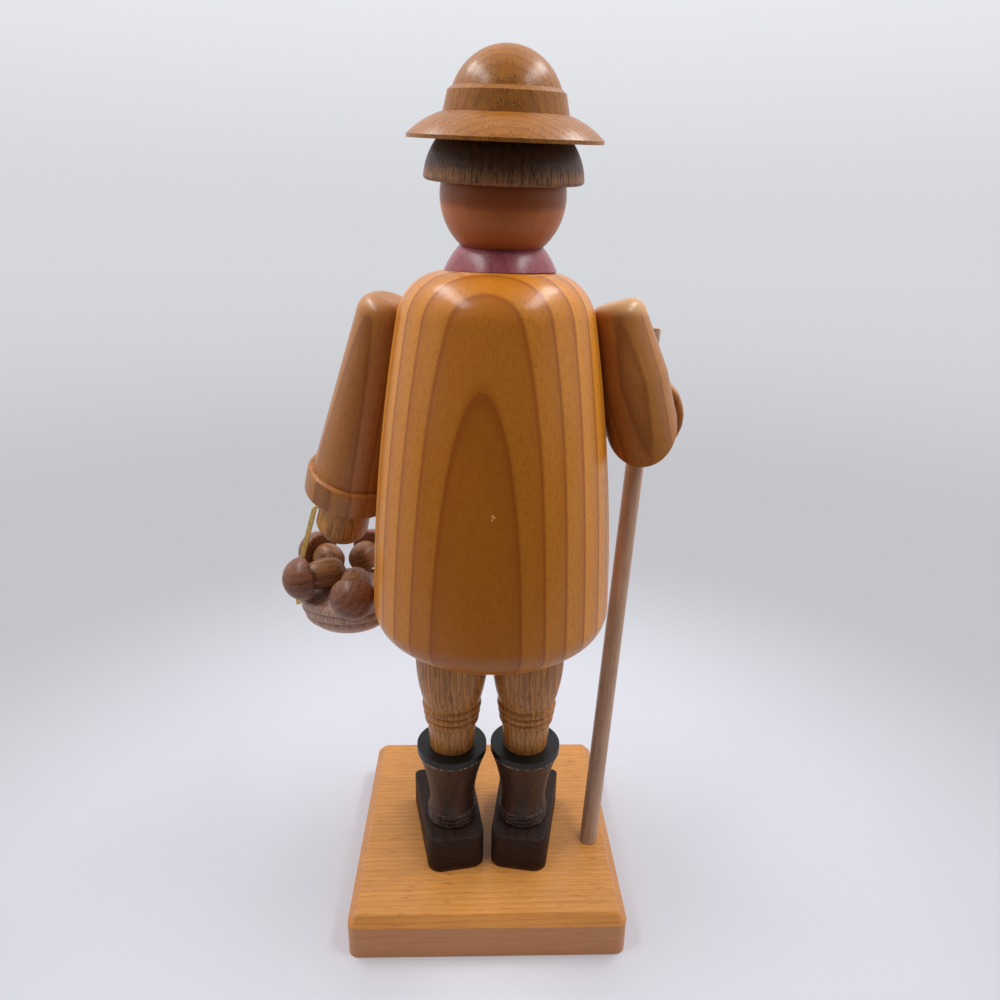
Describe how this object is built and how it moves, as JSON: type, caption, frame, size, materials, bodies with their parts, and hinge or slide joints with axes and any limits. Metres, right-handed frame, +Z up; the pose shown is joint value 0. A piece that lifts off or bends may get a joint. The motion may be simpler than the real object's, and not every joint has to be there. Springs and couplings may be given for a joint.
{
  "type": "incense smoker",
  "caption": "Turned wooden incense smoker: a mushroom gatherer with basket and walking stick on a square stand; the hollow coat lifts off to hold an incense cone.",
  "frame": {"origin": "centre of the stand's underside, on the surface it stands on", "axes": "+Z up, -Y the way the figure faces, +X the figure's left, where the basket hangs"},
  "size_m": [0.1295, 0.0917, 0.2641],
  "materials": {
    "stand_wood": "clear satin lacquer",
    "shoe_wood": "near-black satin stain",
    "boot_wood": "dark chocolate satin stain",
    "leg_wood": "light walnut satin stain",
    "bare_wood": "plain turned beech",
    "coat_wood": "honey amber gloss lacquer",
    "sleeve_wood": "red-brown satin stain",
    "scarf_wood": "dark maroon satin stain",
    "head_wood": "terracotta satin stain",
    "hair_wood": "dark brown open-grain stain",
    "hat_wood": "golden brown gloss lacquer",
    "hand_wood": "clear satin lacquer",
    "stick_wood": "grey-brown satin stain",
    "basket_wood": "grey-brown matt stain",
    "handle_wood": "pale bent strip, matt",
    "stalk_wood": "pale matt",
    "cap_wood": "brown satin stain",
    "dish_metal": "pressed tinplate, soot-stained"
  },
  "bodies": {
    "stand": {"base_plate": "stand_wood", "left_shoe": "shoe_wood", "right_shoe": "shoe_wood", "left_boot_dowel": "bare_wood", "right_boot_dowel": "bare_wood", "left_boot": "boot_wood", "right_boot": "boot_wood", "left_leg": "leg_wood", "right_leg": "leg_wood", "trunk_plug": "bare_wood", "cone_dish": "dish_metal"},
    "figure": {"coat": "coat_wood", "coat_buttons": "hair_wood", "scarf_ring": "scarf_wood", "head": "head_wood", "nose": "head_wood", "hair": "hair_wood", "hat": "hat_wood", "left_sleeve": "sleeve_wood", "left_hand": "hand_wood", "right_upper_arm": "sleeve_wood", "right_forearm": "sleeve_wood", "right_hand": "hand_wood", "left_shoulder_dowel": "bare_wood", "right_shoulder_dowel": "bare_wood", "walking_stick": "stick_wood"},
    "basket": {"basket_bowl": "basket_wood", "basket_handle": "handle_wood", "mushroom_1_stalk": "stalk_wood", "mushroom_1_cap": "cap_wood", "mushroom_2_stalk": "stalk_wood", "mushroom_2_cap": "cap_wood", "mushroom_3_stalk": "stalk_wood", "mushroom_3_cap": "cap_wood", "mushroom_4_stalk": "stalk_wood", "mushroom_4_cap": "cap_wood"}
  },
  "joints": [
    {"name": "body_lift", "type": "slide", "parent": "stand", "child": "figure", "axis": [0, 0, 1], "range_m": [0, 0.06]},
    {"name": "basket_swing", "type": "hinge", "parent": "figure", "child": "basket", "pos_m": [0.04882, -0.0152, 0.13334], "axis": [1, 0, 0], "range_deg": [-15, 4]}
  ]
}
